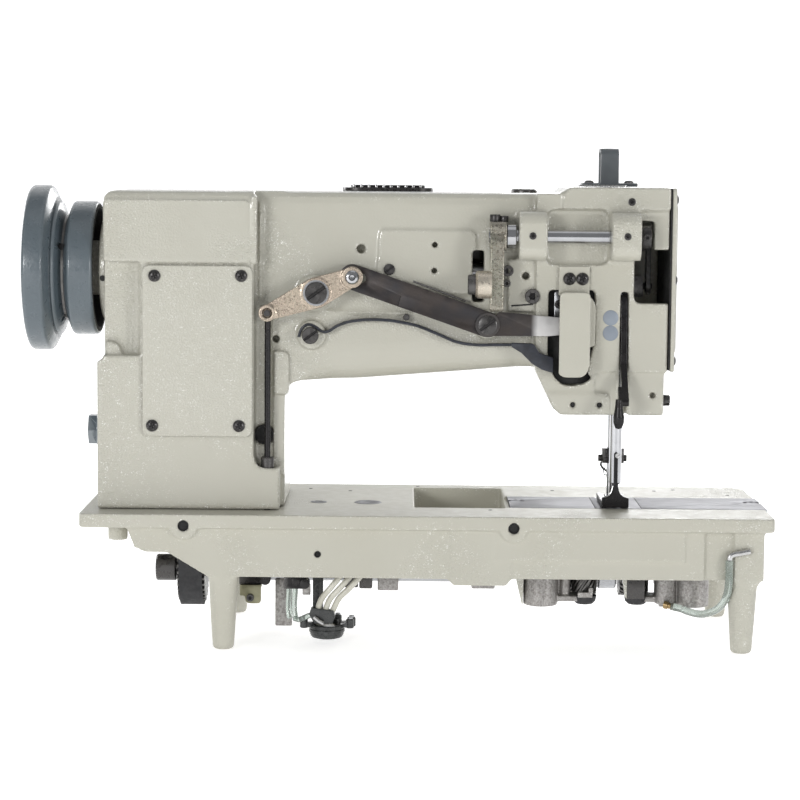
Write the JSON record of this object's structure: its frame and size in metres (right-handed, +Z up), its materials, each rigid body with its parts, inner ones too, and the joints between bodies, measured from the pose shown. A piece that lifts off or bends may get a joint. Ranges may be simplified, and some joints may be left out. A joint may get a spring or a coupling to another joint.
{
  "type": "leather sewing machine",
  "caption": "Flat-bed double-needle walking-foot sewing machine head for leather, with handwheel, lifting linkage, hooks and feed under the bed, on its cast legs.",
  "frame": {"origin": "centre of the footprint, on the surface that the four legs stand on", "axes": "+X from the handwheel to the needles, +Y towards the operator, +Z up"},
  "size_m": [0.563, 0.178, 0.3763],
  "materials": {
    "enamel": "glossy warm light grey enamel on cast iron",
    "wheel_paint": "satin grey-blue paint",
    "black_oxide": "satin black oxide on steel",
    "chrome": "polished",
    "steel": "ground",
    "zinc_gold": "pale yellow zinc plate on a casting",
    "cast_aluminium": "as cast, mottled",
    "brass": "turned",
    "rubber": "matt",
    "clear_tube": "clear flexible plastic",
    "white_tube": "milky plastic",
    "grey_plastic": "satin grey plastic"
  },
  "bodies": {
    "frame": {"bed_casting": "enamel", "needle_plate": "steel", "arm_casting": "enamel", "rear_cover_plate": "enamel", "face_cover": "enamel", "front_cover": "enamel", "lever_guard": "enamel", "thread_guide_arch": "grey_plastic", "oval_cap": "black_oxide", "column_plug": "wheel_paint", "tension_unit_1": "chrome", "tension_unit_2": "chrome", "timing_belt": "rubber", "main_bush": "brass", "bobbin_case_left": "steel", "bobbin_case_right": "steel", "hook_saddle_left": "cast_aluminium", "hook_saddle_right": "cast_aluminium", "bell_crank_screw": "black_oxide", "lift_lever_screw": "black_oxide", "spring_anchor_screw": "black_oxide", "leaf_spring": "black_oxide", "oil_pump": "black_oxide", "oil_tubes": "white_tube", "drain_hose": "clear_tube", "hose_nipple": "brass", "pipe_stub": "steel"},
    "drive": {"handwheel": "wheel_paint", "main_shaft": "steel", "upper_pulley": "cast_aluminium"},
    "lower_drive": {"lower_shaft": "black_oxide", "lower_pulley": "black_oxide", "drive_gear_left": "steel", "drive_gear_right": "steel"},
    "hook_left": {"hook_left": "steel"},
    "hook_right": {"hook_right": "steel"},
    "needle_frame": {"needle_frame": "steel"},
    "needle_bar": {"needle_bar": "chrome", "needle_clamp": "black_oxide"},
    "vibrating_bar": {"vibrating_bar": "chrome", "inner_foot": "black_oxide"},
    "presser_bar": {"presser_bar": "chrome", "presser_foot": "black_oxide"},
    "feed_dog": {"feed_dog": "steel"},
    "walking_shaft": {"walking_shaft": "chrome", "walking_crank": "zinc_gold", "end_crank": "black_oxide"},
    "vibrating_link": {"vibrating_link": "black_oxide"},
    "lift_lever": {"lift_lever": "black_oxide"},
    "bell_crank": {"bell_crank": "zinc_gold"},
    "lift_rod": {"lift_rod": "black_oxide"},
    "hand_lifter": {"hand_lifter": "black_oxide"},
    "take_up_lever": {"take_up_lever": "chrome"},
    "stitch_dial": {"stitch_dial": "black_oxide"},
    "reverse_lever": {"reverse_lever": "black_oxide"},
    "tension_nut_1": {"tension_nut_1": "chrome"},
    "tension_nut_2": {"tension_nut_2": "chrome"},
    "slide_plate_left": {"slide_plate_left": "steel"},
    "slide_plate_right": {"slide_plate_right": "steel"}
  },
  "joints": [
    {"name": "handwheel_spin", "type": "hinge", "parent": "frame", "child": "drive", "pos_m": [-0.25, -0.005, 0.2818], "axis": [1, 0, 0], "continuous": true},
    {"name": "lower_shaft_spin", "type": "hinge", "parent": "frame", "child": "lower_drive", "pos_m": [0, 0.022, 0.045], "axis": [1, 0, 0], "continuous": true},
    {"name": "hook_left_spin", "type": "hinge", "parent": "frame", "child": "hook_left", "pos_m": [0.1454, -0.007, 0.06], "axis": [0, 0, 1], "continuous": true},
    {"name": "hook_right_spin", "type": "hinge", "parent": "frame", "child": "hook_right", "pos_m": [0.1856, -0.007, 0.06], "axis": [0, 0, 1], "continuous": true},
    {"name": "needle_frame_rock", "type": "hinge", "parent": "frame", "child": "needle_frame", "pos_m": [0.1655, -0.007, 0.322], "axis": [1, 0, 0], "range_deg": [-1, 1]},
    {"name": "feed_dog_slide", "type": "slide", "parent": "frame", "child": "feed_dog", "axis": [0, 1, 0], "range_m": [-0.0042, 0.0042]},
    {"name": "needle_bar_slide", "type": "slide", "parent": "needle_frame", "child": "needle_bar", "axis": [0, 0, 1], "range_m": [0, 0.034]},
    {"name": "vibrating_bar_slide", "type": "slide", "parent": "needle_frame", "child": "vibrating_bar", "axis": [0, 0, 1], "range_m": [0, 0.0056]},
    {"name": "walking_rock", "type": "hinge", "parent": "frame", "child": "walking_shaft", "pos_m": [0.126, -0.058, 0.31], "axis": [1, 0, 0], "range_deg": [0, 8]},
    {"name": "vibrating_link_swing", "type": "hinge", "parent": "walking_shaft", "child": "vibrating_link", "pos_m": [0.189, -0.02, 0.304], "axis": [1, 0, 0], "range_deg": [-8.1, 0]},
    {"name": "lift_lever_swing", "type": "hinge", "parent": "frame", "child": "lift_lever", "pos_m": [0.066, -0.0555, 0.2439], "axis": [0, -1, 0], "range_deg": [0, 8]},
    {"name": "bell_crank_swing", "type": "hinge", "parent": "frame", "child": "bell_crank", "pos_m": [-0.0621, -0.0625, 0.267], "axis": [0, -1, 0], "range_deg": [-29.5, 0]},
    {"name": "lift_rod_swing", "type": "hinge", "parent": "bell_crank", "child": "lift_rod", "pos_m": [-0.0985, -0.055, 0.2516], "axis": [0, -1, 0], "range_deg": [0, 29.5]},
    {"name": "presser_slide", "type": "slide", "parent": "frame", "child": "presser_bar", "axis": [0, 0, 1], "range_m": [0, 0.0102]},
    {"name": "hand_lifter_swing", "type": "hinge", "parent": "frame", "child": "hand_lifter", "pos_m": [0.1686, -0.0465, 0.262], "axis": [-1, 0, 0], "range_deg": [0, 60]},
    {"name": "take_up_swing", "type": "hinge", "parent": "frame", "child": "take_up_lever", "pos_m": [0.1515, 0.014, 0.292], "axis": [1, 0, 0], "range_deg": [-25, 15]},
    {"name": "stitch_dial_turn", "type": "hinge", "parent": "frame", "child": "stitch_dial", "pos_m": [-0.155, 0.055, 0.205], "axis": [0, 1, 0], "range_deg": [0, 300]},
    {"name": "reverse_lever_press", "type": "hinge", "parent": "frame", "child": "reverse_lever", "pos_m": [-0.11, 0.062, 0.17], "axis": [-1, 0, 0], "range_deg": [0, 20], "stiffness_Nm_per_rad": 0.6, "springref_deg": -11.46},
    {"name": "tension_nut_1_turn", "type": "hinge", "parent": "frame", "child": "tension_nut_1", "pos_m": [0.134, 0.076, 0.281], "axis": [0, 1, 0], "continuous": true},
    {"name": "tension_nut_2_turn", "type": "hinge", "parent": "frame", "child": "tension_nut_2", "pos_m": [0.134, 0.076, 0.318], "axis": [0, 1, 0], "continuous": true},
    {"name": "slide_plate_left_slide", "type": "slide", "parent": "frame", "child": "slide_plate_left", "axis": [-1, 0, 0], "range_m": [0, 0.045]},
    {"name": "slide_plate_right_slide", "type": "slide", "parent": "frame", "child": "slide_plate_right", "axis": [1, 0, 0], "range_m": [0, 0.04]}
  ],
  "couplings": [
    {"joint": "lower_shaft_spin", "follows": "handwheel_spin", "ratio": 1},
    {"joint": "hook_left_spin", "follows": "handwheel_spin", "ratio": 2},
    {"joint": "hook_right_spin", "follows": "handwheel_spin", "ratio": -2},
    {"joint": "feed_dog_slide", "follows": "needle_frame_rock", "m_per_rad": 0.22},
    {"joint": "vibrating_bar_slide", "follows": "walking_rock", "m_per_rad": 0.0383},
    {"joint": "vibrating_link_swing", "follows": "walking_rock", "ratio": -1},
    {"joint": "bell_crank_swing", "follows": "lift_lever_swing", "ratio": -3.61},
    {"joint": "lift_rod_swing", "follows": "lift_lever_swing", "ratio": 3.61},
    {"joint": "presser_slide", "follows": "lift_lever_swing", "m_per_rad": 0.072}
  ]
}
